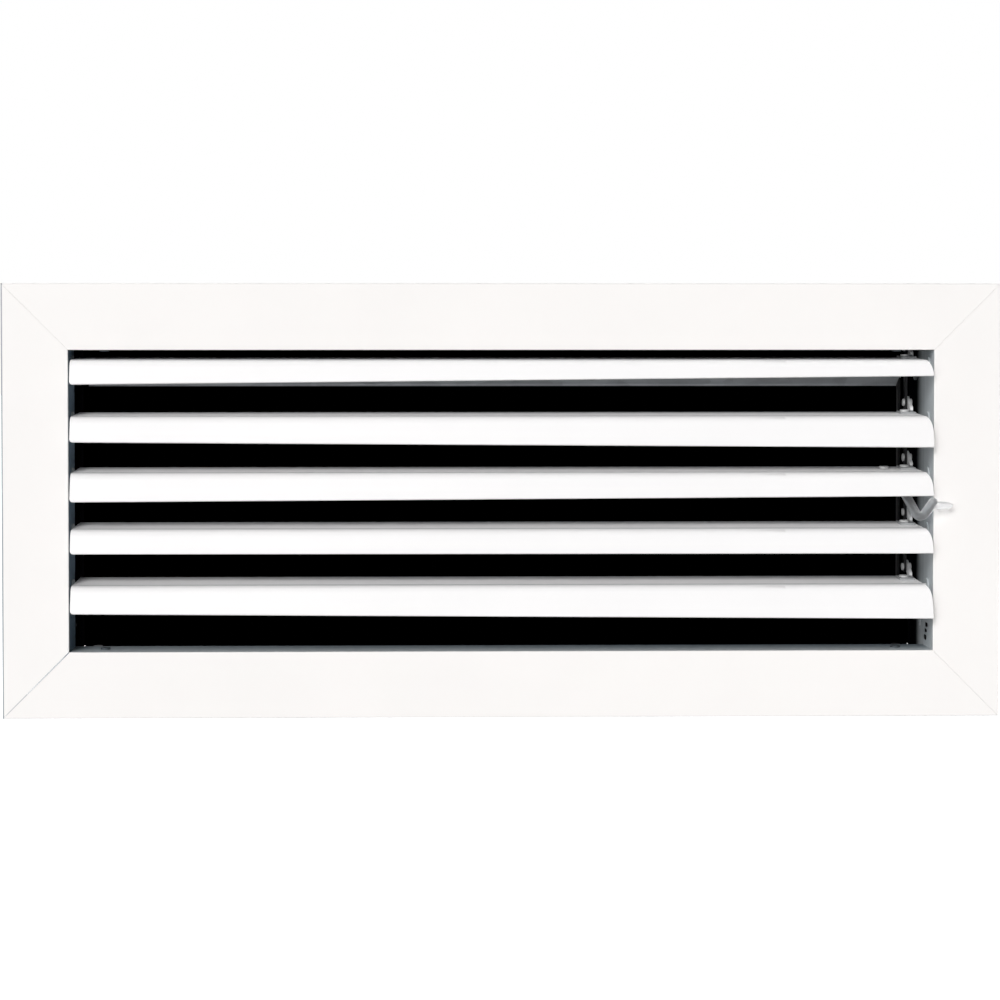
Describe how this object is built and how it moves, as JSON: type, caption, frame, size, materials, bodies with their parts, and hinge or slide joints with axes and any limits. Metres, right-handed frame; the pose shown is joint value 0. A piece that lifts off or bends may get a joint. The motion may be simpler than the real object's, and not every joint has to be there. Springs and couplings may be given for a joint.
{
  "type": "ceiling air outlet",
  "caption": "Rectangular flanged ceiling air outlet with ganged louvre blades, a hooked handle and a sheet-metal neck that holds a shutter damper.",
  "frame": {"origin": "centre of the opening on the plane where the flange rim seats on the ceiling or wall", "axes": "+X along the slot, +Y into the duct, +Z across the blades, up as pictured"},
  "size_m": [0.45, 0.0641, 0.196],
  "materials": {
    "frame_paint": "warm white powder coat on aluminium",
    "blade_paint": "white powder coat on aluminium",
    "key_metal": "bare die-cast",
    "sheet_metal": "galvanised sheet",
    "plated_steel": "zinc plated",
    "dark_steel": "blackened",
    "nylon": "grey nylon",
    "handle_nylon": "pale grey moulded nylon"
  },
  "bodies": {
    "housing": {"frame_top": "frame_paint", "frame_bottom": "frame_paint", "frame_left": "frame_paint", "frame_right": "frame_paint", "corner_key_top_left": "key_metal", "corner_key_top_right": "key_metal", "corner_key_bottom_left": "key_metal", "corner_key_bottom_right": "key_metal", "left_blade_bushes": "nylon", "right_blade_bushes": "nylon", "frame_rivets": "dark_steel", "neck_top": "sheet_metal", "neck_bottom": "sheet_metal", "neck_left": "sheet_metal", "neck_right": "sheet_metal", "neck_rivets": "plated_steel", "left_shutter_bushes": "nylon", "right_shutter_bushes": "nylon"},
    "louvre_1": {"blade_1": "blade_paint", "blade_1_crank": "plated_steel", "blade_1_pins": "plated_steel"},
    "louvre_2": {"blade_2": "blade_paint", "blade_2_crank": "plated_steel", "blade_2_pins": "plated_steel"},
    "louvre_3": {"blade_3": "blade_paint", "blade_3_crank": "plated_steel", "blade_3_pins": "plated_steel", "blade_handle": "handle_nylon", "handle_rivet": "plated_steel"},
    "louvre_4": {"blade_4": "blade_paint", "blade_4_crank": "plated_steel", "blade_4_pins": "plated_steel"},
    "louvre_5": {"blade_5": "blade_paint", "blade_5_crank": "plated_steel", "blade_5_pins": "plated_steel"},
    "louvre_bar": {"tie_bar": "dark_steel"},
    "damper_1": {"shutter_1": "sheet_metal", "shutter_1_pins": "plated_steel"},
    "damper_2": {"shutter_2": "sheet_metal", "shutter_2_pins": "plated_steel"},
    "damper_3": {"shutter_3": "sheet_metal", "shutter_3_pins": "plated_steel"},
    "damper_4": {"shutter_4": "sheet_metal", "shutter_4_pins": "plated_steel"},
    "damper_5": {"shutter_5": "sheet_metal", "shutter_5_pins": "plated_steel"},
    "damper_bar": {"shutter_bar": "dark_steel"}
  },
  "joints": [
    {"name": "louvre_1_turn", "type": "hinge", "parent": "housing", "child": "louvre_1", "pos_m": [0, 0.005, 0.0616], "axis": [1, 0, 0], "range_deg": [-20, 3]},
    {"name": "louvre_2_turn", "type": "hinge", "parent": "housing", "child": "louvre_2", "pos_m": [0, 0.005, 0.0362], "axis": [1, 0, 0], "range_deg": [-20, 3]},
    {"name": "louvre_3_turn", "type": "hinge", "parent": "housing", "child": "louvre_3", "pos_m": [0, 0.005, 0.0108], "axis": [1, 0, 0], "range_deg": [-20, 3]},
    {"name": "louvre_4_turn", "type": "hinge", "parent": "housing", "child": "louvre_4", "pos_m": [0, 0.005, -0.0146], "axis": [1, 0, 0], "range_deg": [-20, 3]},
    {"name": "louvre_5_turn", "type": "hinge", "parent": "housing", "child": "louvre_5", "pos_m": [0, 0.005, -0.04], "axis": [1, 0, 0], "range_deg": [-20, 3]},
    {"name": "louvre_bar_swing", "type": "hinge", "parent": "louvre_3", "child": "louvre_bar", "pos_m": [0.1876, 0.0195, 0.018], "axis": [1, 0, 0], "range_deg": [-3, 20]},
    {"name": "damper_1_turn", "type": "hinge", "parent": "housing", "child": "damper_1", "pos_m": [0, 0.036, 0.057], "axis": [1, 0, 0], "range_deg": [-55, 30]},
    {"name": "damper_2_turn", "type": "hinge", "parent": "housing", "child": "damper_2", "pos_m": [0, 0.036, 0.0316], "axis": [1, 0, 0], "range_deg": [-55, 30]},
    {"name": "damper_3_turn", "type": "hinge", "parent": "housing", "child": "damper_3", "pos_m": [0, 0.036, 0.0062], "axis": [1, 0, 0], "range_deg": [-55, 30]},
    {"name": "damper_4_turn", "type": "hinge", "parent": "housing", "child": "damper_4", "pos_m": [0, 0.036, -0.0192], "axis": [1, 0, 0], "range_deg": [-55, 30]},
    {"name": "damper_5_turn", "type": "hinge", "parent": "housing", "child": "damper_5", "pos_m": [0, 0.036, -0.0446], "axis": [1, 0, 0], "range_deg": [-55, 30]},
    {"name": "damper_bar_swing", "type": "hinge", "parent": "damper_3", "child": "damper_bar", "pos_m": [0.1897, 0.04381, 0.00793], "axis": [1, 0, 0], "range_deg": [-30, 55]}
  ],
  "couplings": [
    {"joint": "louvre_1_turn", "follows": "louvre_3_turn", "ratio": 1},
    {"joint": "louvre_2_turn", "follows": "louvre_3_turn", "ratio": 1},
    {"joint": "louvre_4_turn", "follows": "louvre_3_turn", "ratio": 1},
    {"joint": "louvre_5_turn", "follows": "louvre_3_turn", "ratio": 1},
    {"joint": "louvre_bar_swing", "follows": "louvre_3_turn", "ratio": -1},
    {"joint": "damper_1_turn", "follows": "damper_3_turn", "ratio": 1},
    {"joint": "damper_2_turn", "follows": "damper_3_turn", "ratio": 1},
    {"joint": "damper_4_turn", "follows": "damper_3_turn", "ratio": 1},
    {"joint": "damper_5_turn", "follows": "damper_3_turn", "ratio": 1},
    {"joint": "damper_bar_swing", "follows": "damper_3_turn", "ratio": -1}
  ]
}
